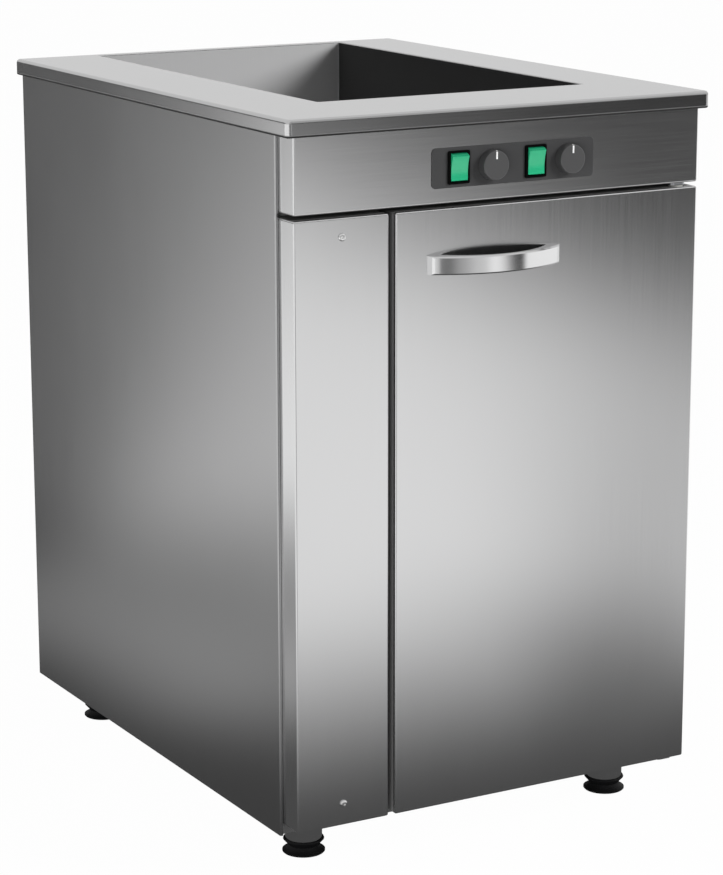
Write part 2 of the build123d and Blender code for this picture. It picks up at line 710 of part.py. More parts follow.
# Switches: a housing with its bezel, and a rocker that tips on two stub pins
pivot_depth = plate_front + rocker_pivot
cavity_half_x = rocker_width / 2 + rocker_clearance
cavity_half_z = rocker_radius + rocker_clearance
cavity_rear = pivot_depth + rocker_back + rocker_radius * sin(radians(rocker_tilt)) + rocker_clearance
switch_rear = panel_face + sheet + switch_depth
tab_size = (6.3, 0.8, 8)
for name, switch_x in zip(("left", "right"), switch_xs):
    with BuildPart() as switch_housing:
        with BuildSketch(front_plane(plate_front)):
            with Locations((switch_x, control_z)):
                RectangleRounded(*bezel_size, bezel_corner)
        extrude(amount=bezel_height)
        fillet(switch_housing.faces().sort_by(Axis.Y)[0].outer_wire().edges(), 1)
        block((switch_x - switch_body[0] / 2, switch_x + switch_body[0] / 2), (plate_front, switch_rear),
              (control_z - switch_body[1] / 2, control_z + switch_body[1] / 2))
        block((switch_x - cavity_half_x, switch_x + cavity_half_x), (plate_front - bezel_height, cavity_rear),
              (control_z - cavity_half_z, control_z + cavity_half_z), mode=Mode.SUBTRACT)
        bore_half = cavity_half_x + rocker_pin_length
        rod(rocker_pin + running_gap, (switch_x - bore_half, switch_x + bore_half), pivot_depth, control_z,
            mode=Mode.SUBTRACT)
        for tab_z in (-8, 8):
            block((switch_x - tab_size[0] / 2, switch_x + tab_size[0] / 2),
                  (switch_rear, switch_rear + tab_size[2]),
                  (control_z + tab_z - tab_size[1] / 2, control_z + tab_z + tab_size[1] / 2))
    save(switch_housing, f"{name}_switch_housing")

    tilt = radians(rocker_tilt)
    rocker_plane = Plane(origin=(switch_x - rocker_width / 2, pivot_depth, control_z),
                         x_dir=(0, cos(tilt), sin(tilt)), z_dir=(1, 0, 0))
    dish_depth = rocker_dish - sqrt(rocker_dish ** 2 - rocker_radius ** 2)
    pin_half = bore_half - running_gap
    with BuildPart() as rocker:
        with BuildSketch(rocker_plane):
            Circle(rocker_radius)
            with Locations(((rocker_back - rocker_front) / 2, 0)):
                Rectangle(rocker_front + rocker_back, 3 * rocker_radius, mode=Mode.INTERSECT)
            with Locations((-rocker_front - rocker_dish + dish_depth, 0)):
                Circle(rocker_dish, mode=Mode.SUBTRACT)
        extrude(amount=rocker_width)
        rod(rocker_pin, (switch_x - pin_half, switch_x + pin_half), pivot_depth, control_z)
    save(rocker, f"{name}_rocker")

# Thermostats behind the control panel, their spindles and the knobs on these
panel_inside = panel_face + sheet
thermostat_rear = panel_inside + thermostat_depth
spindle_front = knob_back - spindle_grip
spindle_rear = panel_inside + 10
for name, knob_x in zip(("left", "right"), knob_xs):
    with BuildPart() as thermostat:
        half = thermostat_size / 2
        block((knob_x - half, knob_x + half), (panel_inside, thermostat_rear),
              (control_z - half, control_z + half))
        fillet(thermostat.edges().filter_by(Axis.Y), 4)
        rod(bush_radius, knob_x, (plate_front, panel_inside), control_z)
        rod(spindle_radius + running_gap, knob_x, (plate_front, spindle_rear + stop_gap), control_z,
            mode=Mode.SUBTRACT)
    save(thermostat, f"{name}_thermostat")

    with BuildPart() as spindle:
        rod(spindle_radius, knob_x, (spindle_front, spindle_rear), control_z)
    save(spindle, f"{name}_spindle")

    with BuildPart() as knob:
        with BuildSketch(front_plane(knob_back)):
            with Locations((knob_x, control_z)):
                Circle(knob_radius)
        with BuildSketch(front_plane(knob_back - knob_height)):
            with Locations((knob_x, control_z)):
                Circle(knob_face_radius)
        loft()
        fillet(knob.faces().sort_by(Axis.Y)[0].edges(), knob_round)
        rod(spindle_radius, knob_x, (spindle_front, knob_back), control_z, mode=Mode.SUBTRACT)
    save(knob, f"{name}_knob")

# Thermostat bulbs and their capillaries
bulb_z = tub_under - contact_gap - bulb_radius
riser_y = (frame_back + well_front - sheet) / 2
bulb_front = well_front + 50
with BuildPart() as well_sensor:
    rod(bulb_radius, knob_xs[0], (bulb_front, bulb_front + bulb_length), bulb_z)
    tube_along([(knob_xs[0], bulb_front, bulb_z), (knob_xs[0], riser_y, bulb_z),
                (knob_xs[0], riser_y, control_z), (knob_xs[0], thermostat_rear, control_z)],
               capillary_bend, capillary_radius)
save(well_sensor, "well_sensor")

cupboard_bulb_z = cupboard_top - contact_gap - bulb_radius
cupboard_bulb_front = sensor_drop_y + 40
with BuildPart() as cupboard_sensor:
    rod(bulb_radius, sensor_x, (cupboard_bulb_front, cupboard_bulb_front + bulb_length), cupboard_bulb_z)
    tube_along([(sensor_x, cupboard_bulb_front, cupboard_bulb_z), (sensor_x, sensor_drop_y, cupboard_bulb_z),
                (sensor_x, sensor_drop_y, control_z), (sensor_x, thermostat_rear, control_z)],
               [bulb_radius * 0.9, capillary_bend], capillary_radius)
save(cupboard_sensor, "cupboard_sensor")

# Terminal block on the partition, in the service space
terminal_y = frame_back + terminal_from_frame
terminal_z = cupboard_floor_height + terminal_height
with BuildPart() as terminal_block:
    block((partition_left - terminal_size[0], partition_left), (terminal_y, terminal_y + terminal_size[1]),
          (terminal_z, terminal_z + terminal_size[2]))
    for way in range(6):
        way_y = terminal_y + terminal_size[1] * (way + 0.5) / 6
        for way_z in (0.28, 0.72):
            rod(3, (partition_left - terminal_size[0], partition_left - terminal_size[0] + 8), way_y,
                terminal_z + terminal_size[2] * way_z, mode=Mode.SUBTRACT)
save(terminal_block, "terminal_block")

# Cable gland through the base
gland_hex_bottom = base_under - 6
gland_dome_bottom = gland_hex_bottom - 14
gland_nut_height = 5
with BuildPart() as cable_gland:
    with BuildSketch(Plane.XY.offset(gland_hex_bottom)):
        with Locations((gland_x, gland_y)):
            RegularPolygon(gland_hex, 6, major_radius=False)
    extrude(amount=base_under - gland_hex_bottom)
    rod(gland_dome, gland_x, gland_y, (gland_dome_bottom, gland_hex_bottom))
    fillet(cable_gland.faces().sort_by(Axis.Z)[0].edges(), 3)
    rod(gland_thread, gland_x, gland_y, (base_under, base_top))
    with BuildSketch(Plane.XY.offset(base_top)):
        with Locations((gland_x, gland_y)):
            RegularPolygon(gland_hex - 1, 6, major_radius=False)
    extrude(amount=gland_nut_height)
    rod(gland_bore, gland_x, gland_y, (gland_dome_bottom, base_top + gland_nut_height), mode=Mode.SUBTRACT)
save(cable_gland, "cable_gland")

# Service panel and its two domed screws
with BuildPart() as service_panel:
    fold_pan(service_panel, (-panel_half, service_right), (panel_bottom, door_top), panel_depth)
    for screw_z in service_screw_zs:
        rod(service_screw_shank + hole_gap, service_screw_x, (panel_face, panel_inside), screw_z,
            mode=Mode.SUBTRACT)
save(service_panel, "service_panel")

service_dome = 2.8
service_socket = 1.7
with BuildPart() as service_panel_screws:
    for screw_z in service_screw_zs:
        rod(service_screw_shank, service_screw_x, (panel_face, bracket_front + sheet + 4), screw_z)
        rod(service_screw_head, service_screw_x, (panel_face - service_dome, panel_face), screw_z)
    fillet(service_panel_screws.faces().filter_by(Axis.Y).group_by(Axis.Y)[0].edges(), service_dome - 0.4)
    for screw_z in service_screw_zs:
        with BuildSketch(front_plane(panel_face - service_dome)):
            with Locations((service_screw_x, screw_z)):
                RegularPolygon(service_socket, 6)
        extrude(amount=-1.6, mode=Mode.SUBTRACT)
save(service_panel_screws, "service_panel_screws")

# Door: outer pan, insulation and inner sheet
door_x = (door_left, panel_half)
door_z = (panel_bottom, door_top)
handle_screw_xs = [handle_x + side * (handle_half_length + handle_grip_half) / 2 for side in (-1, 1)]
bushing_length = pin_depth + 2
with BuildPart() as door_skin:
    fold_pan(door_skin, door_x, door_z, door_depth)
    for screw_x in handle_screw_xs:
        rod(handle_screw + hole_gap, screw_x, (panel_face, panel_inside), handle_z, mode=Mode.SUBTRACT)
    rod(bushing_radius, pivot_x, pivot_y, (door_top - sheet, door_top), mode=Mode.SUBTRACT)
    rod(bushing_radius, pivot_x, pivot_y, (panel_bottom, panel_bottom + sheet), mode=Mode.SUBTRACT)
save(door_skin, "door_skin")

with BuildPart() as door_liner:
    with BuildSketch(front_plane(door_back - liner_sheet)):
        with Locations((sum(door_x) / 2, sum(door_z) / 2)):
            RectangleRounded(door_x[1] - door_x[0] - 2 * sheet, door_z[1] - door_z[0] - 2 * sheet,
                             panel_corner - sheet)
    extrude(amount=-liner_sheet)
save(door_liner, "door_liner")

pocket = 4
with BuildPart() as door_insulation:
    block((door_x[0] + insulation_gap, door_x[1] - insulation_gap), (panel_inside, door_back - liner_sheet),
          (door_z[0] + insulation_gap, door_z[1] - insulation_gap))
    fillet(door_insulation.faces().sort_by(Axis.Y)[0].edges(), panel_bend - sheet)
    for screw_x in handle_screw_xs:
        rod(handle_screw_head + pocket, screw_x, (panel_inside, panel_inside + 2 * pocket), handle_z,
            mode=Mode.SUBTRACT)
    for pocket_end, pocket_bottom in ((door_top, door_top - bushing_length - pocket),
                                      (panel_bottom + bushing_length + pocket, panel_bottom)):
        rod(bushing_radius + 1, pivot_x, pivot_y, (pocket_bottom, pocket_end), mode=Mode.SUBTRACT)
save(door_insulation, "door_insulation")

# Gasket: a ring on the door's inner sheet that meets the frame round the opening
gasket_thickness = frame_face - door_back - stop_gap
gasket_inner = (cupboard_width + 2 * gasket_margin, cupboard_height + 2 * gasket_margin)
with BuildPart() as door_gasket:
    with BuildSketch(front_plane(door_back)):
        with Locations(((cupboard_left + cupboard_right) / 2, (cupboard_floor_height + cupboard_top) / 2)):
            Rectangle(gasket_inner[0] + 2 * gasket_width, gasket_inner[1] + 2 * gasket_width)
            Rectangle(*gasket_inner, mode=Mode.SUBTRACT)
    extrude(amount=-gasket_thickness)
    fillet(door_gasket.faces().sort_by(Axis.Y)[-1].edges(), gasket_width / 4)
save(door_gasket, "door_gasket")

# Handle: a bow of two arcs, thicker at its feet, with chamfered edges
grip_depth = handle_reach - handle_thickness
end_x = handle_half_length - handle_end_slope
handle_plane = Plane.XY.offset(handle_z - handle_height / 2)
with BuildPart() as door_handle:
    with BuildSketch(handle_plane):
        with BuildLine():
            left_foot = (handle_x - handle_half_length, panel_face)
            left_end = (handle_x - end_x, panel_face - handle_end)
            right_end = (handle_x + end_x, panel_face - handle_end)
            right_foot = (handle_x + handle_half_length, panel_face)
            right_grip = (handle_x + handle_grip_half, panel_face)
            left_grip = (handle_x - handle_grip_half, panel_face)
            Line(left_foot, left_end)
            ThreePointArc(left_end, (handle_x, panel_face - handle_reach), right_end)
            Polyline(right_end, right_foot, right_grip)
            ThreePointArc(right_grip, (handle_x, panel_face - grip_depth), left_grip)
            Line(left_grip, left_foot)
        make_face()
    extrude(amount=handle_height)
    outer_face = door_handle.faces().sort_by(Axis.Y)[0]
    chamfer(outer_face.edges(), handle_chamfer)
    for screw_x in handle_screw_xs:
        rod(handle_screw, screw_x, (panel_face - handle_screw_length + 3, panel_face), handle_z,
            mode=Mode.SUBTRACT)
save(door_handle, "door_handle")

with BuildPart() as handle_screws:
    for screw_x in handle_screw_xs:
        rod(handle_screw, screw_x, (panel_face - handle_screw_length + 3, panel_inside), handle_z)
        rod(handle_screw_head, screw_x, (panel_inside, panel_inside + 3), handle_z)
save(handle_screws, "handle_screws")

# Hinges: plates on the frame and the base, their pins, and the bushings in the door
hinge_y = pivot_y - hinge_front
with BuildPart() as hinge_plates:
    block(hinge_x, (hinge_y, frame_back + hinge_plate), (hinge_top_low, hinge_top_high))
    block(hinge_x, (frame_back, frame_back + hinge_plate), (hinge_top_low - hinge_flange, hinge_top_low))
    block(hinge_x, (hinge_y, frame_back + hinge_tail), (base_top, hinge_low_top))
    fillet(hinge_plates.edges().filter_by(Axis.Z).group_by(Axis.Y)[0], hinge_front - 1)
    rod(pin_radius, pivot_x, pivot_y, (hinge_top_low, hinge_top_high), mode=Mode.SUBTRACT)
    rod(pin_radius, pivot_x, pivot_y, (base_top, hinge_low_top), mode=Mode.SUBTRACT)
save(hinge_plates, "hinge_plates")

with BuildPart() as hinge_pins:
    rod(pin_radius, pivot_x, pivot_y, (door_top - pin_depth, hinge_top_high))
    rod(pin_radius, pivot_x, pivot_y, (base_top, panel_bottom + pin_depth))
save(hinge_pins, "hinge_pins")

with BuildPart() as hinge_bushings:
    rod(bushing_flange, pivot_x, pivot_y, (door_top, hinge_top_low - stop_gap))
    rod(bushing_radius, pivot_x, pivot_y, (door_top - bushing_length, door_top))
    rod(bushing_flange, pivot_x, pivot_y, (hinge_low_top + stop_gap, panel_bottom))
    rod(bushing_radius, pivot_x, pivot_y, (panel_bottom, panel_bottom + bushing_length))
    rod(pin_radius + running_gap, pivot_x, pivot_y, (door_top - pin_depth - stop_gap, hinge_top_low),
        mode=Mode.SUBTRACT)
    rod(pin_radius + running_gap, pivot_x, pivot_y, (hinge_low_top, panel_bottom + pin_depth + stop_gap),
        mode=Mode.SUBTRACT)
save(hinge_bushings, "hinge_bushings")

# Magnetic catch on the frame and its plate on the door
magnet_centre = door_left + magnet_from_edge
magnet_x = (magnet_centre - magnet_size[0] / 2, magnet_centre + magnet_size[0] / 2)
magnet_middle = cupboard_top + magnet_over_opening
magnet_z = (magnet_middle - magnet_size[1] / 2, magnet_middle + magnet_size[1] / 2)
with BuildPart() as catch_magnet:
    block(magnet_x, (frame_face - magnet_thickness, frame_face), magnet_z)
    fillet(catch_magnet.edges().filter_by(Axis.Y), 2)
save(catch_magnet, "catch_magnet")

with BuildPart() as strike_plate:
    block(magnet_x, (door_back, door_back + strike_sheet), magnet_z)
    fillet(strike_plate.edges().filter_by(Axis.Y), 2)
save(strike_plate, "strike_plate")

# Legs: short tubes with a threaded bottom plate, welded under the base
leg_places = [(side * leg_x, leg_y) for leg_y in leg_ys for side in (-1, 1)]
with BuildPart() as legs:
    for place_x, place_y in leg_places:
        rod(leg_radius, place_x, place_y, (leg_bottom, base_under))
        rod(leg_radius - leg_wall, place_x, place_y, (leg_bottom + leg_plate, base_under), mode=Mode.SUBTRACT)
        rod(stud_radius + running_gap, place_x, place_y, (leg_bottom, leg_bottom + leg_plate),
            mode=Mode.SUBTRACT)
save(legs, "legs")

# Levelling feet: waisted pads with a threaded stud, screwed right in
foot_top = leg_bottom - stop_gap
stud_top = base_under - 2
foot_names = ["front_left_foot", "front_right_foot", "rear_left_foot", "rear_right_foot"]
for name, (place_x, place_y) in zip(foot_names, leg_places):
    with BuildPart() as foot:
        with BuildSketch(Plane(origin=(place_x, place_y, 0), x_dir=(1, 0, 0), z_dir=(0, -1, 0))):
            with BuildLine():
                Polyline((0, 0), (foot_radius - 1, 0), (foot_radius, 1), (foot_radius, 2.5))
                ThreePointArc((foot_radius, 2.5), (foot_neck + 2.4, 5.6), (foot_neck, foot_neck_height))
                Line((foot_neck, foot_neck_height), (foot_dish, foot_top - 1.4))
                Polyline((foot_dish, foot_top - 1.4), (foot_dish - 0.6, foot_top), (stud_radius, foot_top),
                         (stud_radius, stud_top), (0, stud_top), (0, 0))
            make_face()
        revolve(axis=Axis((place_x, place_y, 0), (0, 0, 1)))
    save(foot, name)
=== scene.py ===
import json
import math

import bmesh
import bpy
from mathutils import Matrix, Vector


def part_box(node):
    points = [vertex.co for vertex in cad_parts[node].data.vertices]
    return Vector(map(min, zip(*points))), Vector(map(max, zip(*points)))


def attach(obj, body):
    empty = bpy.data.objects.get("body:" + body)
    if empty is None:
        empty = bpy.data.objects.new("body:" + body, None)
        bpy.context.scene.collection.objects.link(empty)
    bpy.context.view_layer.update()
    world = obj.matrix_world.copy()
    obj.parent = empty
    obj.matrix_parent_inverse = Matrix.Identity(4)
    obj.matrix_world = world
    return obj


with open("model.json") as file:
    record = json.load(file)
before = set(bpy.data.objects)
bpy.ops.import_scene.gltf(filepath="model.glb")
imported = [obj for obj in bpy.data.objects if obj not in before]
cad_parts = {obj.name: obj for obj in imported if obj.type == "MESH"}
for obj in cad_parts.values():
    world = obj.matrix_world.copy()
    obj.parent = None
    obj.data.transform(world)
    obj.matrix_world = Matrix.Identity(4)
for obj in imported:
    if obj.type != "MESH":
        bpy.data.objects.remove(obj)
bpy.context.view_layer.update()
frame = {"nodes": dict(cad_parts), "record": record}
nodes = frame["nodes"]


class Value:
    """One output of a shader node. Arithmetic on it adds Math nodes."""

    def __init__(self, graph, socket):
        self.graph = graph
        self.socket = socket

    def math(self, operation, first, second=0.0):
        return self.graph.node("ShaderNodeMath", {"operation": operation}, {0: first, 1: second})

    def __add__(self, other):
        return self.math("ADD", self, other)

    def __radd__(self, other):
        return self.math("ADD", other, self)

    def __sub__(self, other):
        return self.math("SUBTRACT", self, other)

    def __rsub__(self, other):
        return self.math("SUBTRACT", other, self)

    def __mul__(self, other):
        return self.math("MULTIPLY", self, other)

    def __rmul__(self, other):
        return self.math("MULTIPLY", other, self)

    def __truediv__(self, other):
        return self.math("DIVIDE", self, other)

    def larger(self, other):
        return self.math("MAXIMUM", self, other)

    def size(self):
        return self.math("ABSOLUTE", self)

    def root(self):
        return self.math("SQRT", self)

    def sibling(self, name):
        """Another output of the same node."""
        return Value(self.graph, self.socket.node.outputs[name])


class Graph:
    """The nodes of one material or of the world."""

    mix_first, mix_second, mix_result = 6, 7, 2

    def __init__(self, tree):
        self.tree = tree
        tree.nodes.clear()

    def node(self, kind, settings=None, inputs=None, output=0):
        """Add a node, with its settings and the values or links of its sockets."""
        made = self.tree.nodes.new(kind)
        for name, value in (settings or {}).items():
            setattr(made, name, value)
        for name, value in (inputs or {}).items():
            if isinstance(value, Value):
                self.tree.links.new(value.socket, made.inputs[name])
            else:
                made.inputs[name].default_value = value
        return Value(self, made.outputs[output]) if made.outputs else made

    def ease(self, value, start, end, low=0.0, high=1.0):
        """A smooth step: low before start, high after end."""
        return self.node("ShaderNodeMapRange", {"interpolation_type": "SMOOTHSTEP"},
                         {"Value": value, "From Min": start, "From Max": end,
                          "To Min": low, "To Max": high})

    def fade(self, value, start, end):
        """A smooth step down: 1 before start, 0 after end."""
        return self.ease(value, start, end, 1.0, 0.0)

    def noise(self, scale, detail=3.0, roughness=0.55):
        """Noise over the piece, with a scale per metre along each axis."""
        place = self.node("ShaderNodeTexCoord", output="Object")
        spread = self.node("ShaderNodeMapping", {}, {"Vector": place, "Scale": scale})
        return self.node("ShaderNodeTexNoise", {},
                         {"Vector": spread, "Scale": 1.0, "Detail": detail, "Roughness": roughness})

    def coordinates(self, kind="Object"):
        """The three numbers of a place on the piece, or of another coordinate."""
        vector = self.node("ShaderNodeTexCoord", output=kind)
        split = self.node("ShaderNodeSeparateXYZ", {}, {"Vector": vector})
        return [split.sibling(axis) for axis in "XYZ"]

    def blend(self, factor, first, second):
        """Mix two colours."""
        first, second = (colour if isinstance(colour, Value) else (*colour, 1.0)
                         for colour in (first, second))
        return self.node("ShaderNodeMix", {"data_type": "RGBA"},
                         {"Factor": factor, self.mix_first: first, self.mix_second: second},
                         output=self.mix_result)

    def bump(self, height, depth):
        return self.node("ShaderNodeBump", {}, {"Height": height, "Distance": depth, "Strength": 1.0})


def finish(name):
    """A new material and its empty graph."""
    material = bpy.data.materials.new(name)
    material.use_nodes = True
    return material, Graph(material.node_tree)


def coat(graph, **sockets):
    """Close a material's graph with its one surface shader."""
    inputs = {name.replace("_", " "): value for name, value in sockets.items()}
    shader = graph.node("ShaderNodeBsdfPrincipled", {}, inputs)
    graph.node("ShaderNodeOutputMaterial", {}, {"Surface": shader})


# Finishes

long_grain, cross_grain = 7.0, 620.0
grain_along = {"x": (long_grain, cross_grain, cross_grain),
               "y": (cross_grain, long_grain, cross_grain),
               "z": (cross_grain, cross_grain, long_grain)}
fine_grain_depth = 0.000005
steel_tint = (1.0, 1.0, 1.005)
steel_light, steel_dark = 1.035, 0.955
grain_roughness, smudge_roughness = 0.06, 0.03
# Painted shade on the steel: its tones, with a lighter one on the returns between the front panels, how
# much rougher it is, how matt the returns and the well are, how fully the well's side walls and the
# front edge are shaded, and how soft its borders are
painted_shade_tone, seam_shade_tone = 0.06, 0.22
shade_roughness = 0.4
seam_matt = 0.9
cheek_metal, cheek_cover = 0.1, 0.98
edge_shade = 0.45
fold_blur = 0.001

# Where the front panels' returns begin, and the folds of the worktop and the control panel, which bound
# the painted shade
return_front, return_rear = -0.3605, -0.352
left_return_outside, left_return_inside = -0.2753, -0.2741
control_panel_hem = 0.7922
worktop_hem = 0.8822
worktop_front = -0.3691


def seam_shade_mask(graph):
    """The returns between the front panels, which get a painted shade, without the one on the far left,
    which stays plain steel.
    """
    x, y, z = graph.coordinates()
    return (graph.ease(y, return_front, return_rear)
            * graph.ease(x, left_return_outside, left_return_inside))


def rear_shade_mask(graph):
    """Faces that look to the rear, where shade is painted."""
    x, y, z = graph.coordinates("Normal")
    return graph.ease(y, 0.2, 0.6)


def cheek_shade_mask(graph):
    """Faces that look to the left or right, where shade is painted."""
    x, y, z = graph.coordinates("Normal")
    return graph.ease(x.size(), 0.4, 0.8) * cheek_cover


def hem_shade_mask(graph, hem):
    """The underside of a folded edge, below a height, where a shade is painted."""
    x, y, z = graph.coordinates()
    return graph.fade(z, hem - fold_blur, hem + fold_blur)


def edge_shade_mask(graph, edge):
    """The front edge, ahead of a depth, which gets a painted shade."""
    x, y, z = graph.coordinates()
    return graph.ease(y, edge, edge + fold_blur, edge_shade, 0.0)


def brushed_steel(name, along, tone=0.68, gloss=0.17, depth=0.000008,
                  seams=False, shaded_rear=False, cheeks=False, hem=None, edge=None):
    """Sheet steel with a brushed grain along one axis and faint smudges.

    Seams: the returns between the front panels get a painted shade, in a matt dark grey.
    The rear option paints shade on the faces that look to the rear.
    Cheeks: walls to the left and right get a painted shade, on a piece that is mostly matt.
    Below the height of its hem a folded edge gets a painted shade and is rougher.
    The front edge, ahead of a given depth, gets a painted shade that makes it darker than the top.
    """
    material, graph = finish(name)
    streaks = graph.noise(grain_along[along], detail=4.0)
    clouds = graph.noise((5.0, 5.0, 5.0), detail=2.0)
    light = [min(1.0, tone * steel_light * tint) for tint in steel_tint]
    dark = [tone * steel_dark * tint for tint in steel_tint]
    colour = graph.blend(streaks * 0.7 + clouds * 0.3, dark, light)
    rough = gloss + (streaks - 0.5) * grain_roughness + (clouds - 0.5) * smudge_roughness
    # Where shade is painted into the colour: the returns, the faces that look to the rear, the side
    # walls and the underside of the hem
    painted_shade = None
    shade_tone = painted_shade_tone
    metal = 1.0
    if seams:
        painted_shade = seam_shade_mask(graph)
        shade_tone = seam_shade_tone
        metal = 1 - painted_shade * seam_matt
    if shaded_rear:
        painted_shade = rear_shade_mask(graph)
    if cheeks:
        painted_shade = cheek_shade_mask(graph)
        metal = cheek_metal
    if hem:
        hem_shade = hem_shade_mask(graph, hem)
        painted_shade = painted_shade.larger(hem_shade) if painted_shade else hem_shade
    # Blend the painted shade into the colour, with the front edge shaded too, and make it rougher
    if painted_shade:
        shaded = painted_shade.larger(edge_shade_mask(graph, edge)) if edge else painted_shade
        colour = graph.blend(shaded, colour, (shade_tone, shade_tone, shade_tone))
        rough = rough + painted_shade * shade_roughness
    coat(graph, Base_Color=colour, Metallic=metal, Roughness=rough,
         Normal=graph.bump(streaks, depth))
    return material


def satin_metal(name, colour, gloss, mottle=0.1, scale=60.0):
    """Plated, drawn or cast metal with an even, lightly mottled skin."""
    material, graph = finish(name)
    fine_scale = scale * 9
    spots = graph.noise((scale, scale, scale), detail=4.0)
    fine = graph.noise((fine_scale, fine_scale, fine_scale), detail=2.0)
    light = [channel * (1 + mottle) for channel in colour]
    dark = [channel * (1 - mottle) for channel in colour]
    coat(graph, Base_Color=graph.blend(spots, dark, light), Metallic=1.0,
         Roughness=gloss + (spots - 0.5) * 0.12, Normal=graph.bump(fine, 0.00001))
    return material


def moulded_plastic(name, colour, gloss, texture=420.0, depth=0.00002, coat_weight=0.0, shine=0.5):
    """Moulded plastic with a fine spark-eroded texture and slight colour drift."""
    material, graph = finish(name)
    drift = graph.noise((30.0, 30.0, 30.0), detail=2.0)
    pits = graph.noise((texture, texture, texture), detail=3.0)
    light = [min(1.0, channel * 1.12 + 0.002) for channel in colour]
    dark = [channel * 0.88 for channel in colour]
    coat(graph, Base_Color=graph.blend(drift * 0.5 + pits * 0.5, dark, light),
         Roughness=gloss + (pits - 0.5) * 0.14, Normal=graph.bump(pits, depth),
         Coat_Weight=coat_weight, Coat_Roughness=0.08, Specular_IOR_Level=shine)
    return material


def mineral_wool(name):
    """Matted insulation with long and short fibres."""
    material, graph = finish(name)
    brown, straw = (0.36, 0.27, 0.13), (0.72, 0.62, 0.4)
    layers = graph.noise((40.0, 40.0, 160.0), detail=5.0, roughness=0.7)
    fibres = graph.noise((900.0, 300.0, 900.0), detail=4.0, roughness=0.7)
    coat(graph, Base_Color=graph.blend(layers * 0.5 + fibres * 0.5, brown, straw),
         Roughness=0.95, Normal=graph.bump(layers * 0.6 + fibres * 0.4, 0.002))
    return material


finishes = {
    "stainless": brushed_steel("stainless_upright", "z", tone=0.46, gloss=0.25),
    "well_steel": brushed_steel("well_steel", "z", tone=0.6, gloss=0.28),
    "lining_steel": brushed_steel("lining_steel", "y", tone=0.6, gloss=0.32),
    # The handle gets a painted shade on its faces that look to the rear
    "handle_metal": brushed_steel("handle_metal", "x", tone=0.74, gloss=0.13, shaded_rear=True),
    "plated_steel": satin_metal("plated_steel", (0.55, 0.56, 0.58), 0.35),
    "screw_steel": satin_metal("screw_steel", (0.82, 0.82, 0.82), 0.12, mottle=0.04, scale=300.0),
    "heater_sheath": satin_metal("heater_sheath", (0.2, 0.185, 0.17), 0.5, mottle=0.25, scale=90.0),
    "copper": satin_metal("copper", (0.7, 0.36, 0.2), 0.3, mottle=0.15),
    "mineral_wool": mineral_wool("mineral_wool"),
    "gasket_rubber": moulded_plastic("gasket_rubber", (0.035, 0.035, 0.036), 0.62),
    "plate_grey": moulded_plastic("plate_grey", (0.046, 0.046, 0.047), 0.6, texture=700.0,
                                  depth=0.00001, shine=0.35),
    "switch_black": moulded_plastic("switch_black", (0.001, 0.001, 0.001), 0.4, texture=900.0,
                                    depth=0.000004, shine=0.04),
    "rocker_green": moulded_plastic("rocker_green", (0.02, 0.42, 0.2), 0.2, texture=900.0,
                                    depth=0.000003, coat_weight=0.4),
    "knob_grey": moulded_plastic("knob_grey", (0.045, 0.045, 0.046), 0.36, texture=620.0,
                                 depth=0.00006, shine=1.0),
    "thermostat_plastic": moulded_plastic("thermostat_plastic", (0.06, 0.032, 0.018), 0.4),
    "terminal_plastic": moulded_plastic("terminal_plastic", (0.66, 0.62, 0.5), 0.45),
    "gland_plastic": moulded_plastic("gland_plastic", (0.014, 0.014, 0.015), 0.5),
    "magnet_case": moulded_plastic("magnet_case", (0.02, 0.02, 0.021), 0.5),
    "bushing_nylon": moulded_plastic("bushing_nylon", (0.72, 0.72, 0.68), 0.4),
    "foot_black": moulded_plastic("foot_black", (0.006, 0.006, 0.0065), 0.6, shine=0.25),
}
# The front panels get a painted shade on their returns, the worktop and the control panel under their
# hems, the worktop on its front edge, and the well on its side walls
front_steel = brushed_steel("front_upright", "z", seams=True)
own_finish = {
    "worktop": brushed_steel("worktop_level", "x", gloss=0.18, depth=fine_grain_depth,
                             hem=worktop_hem, edge=worktop_front),
    "legs": brushed_steel("stainless_level", "x", gloss=0.18, depth=fine_grain_depth),
    "control_panel": brushed_steel("front_level", "x", depth=fine_grain_depth, seams=True,
                                   hem=control_panel_hem),
    "service_panel": front_steel,
    "door_skin": front_steel,
    "base_panel": brushed_steel("hidden_steel", "z", tone=0.5, gloss=0.5),
    "front_frame": moulded_plastic("primed_sheet", (0.2, 0.2, 0.2), 0.6, texture=300.0, shine=0.3),
    "well_tub": brushed_steel("tub_steel", "z", tone=0.75, gloss=0.55, cheeks=True),
}
pointer_white = moulded_plastic("pointer_white", (0.86, 0.86, 0.85), 0.4)

for subpart in frame["record"]["subparts"]:
    piece = nodes[subpart["node"]]
    piece.data.materials.clear()
    piece.data.materials.append(own_finish.get(subpart["node"], finishes[subpart["material_slot"]]))


# Pointer lines let into the knobs

pointer_half_width = 0.0011
pointer_proud = 0.0003
pointer_sunk = 0.0008
pointer_face_length = 0.0095
pointer_face_gap = 0.0008
pointer_side_start, pointer_side_end = 0.0007, 0.0075
pointer_softening = 0.0002
knob_crown_inset = 0.0011


def rounded_bar(shape, low, high):
    """Add a bar between two corners, with softened edges, to a mesh."""
    low, high = Vector(low), Vector(high)
    place = Matrix.Translation((low + high) / 2) @ Matrix.Diagonal((*(high - low), 1.0))
    made = bmesh.ops.create_cube(shape, size=1.0, matrix=place)["verts"]
    edges = list({joined for corner in made for joined in corner.link_edges})
    bmesh.ops.bevel(shape, geom=edges, offset=pointer_softening, affect="EDGES", segments=2,
                    profile=0.5, material=-1)


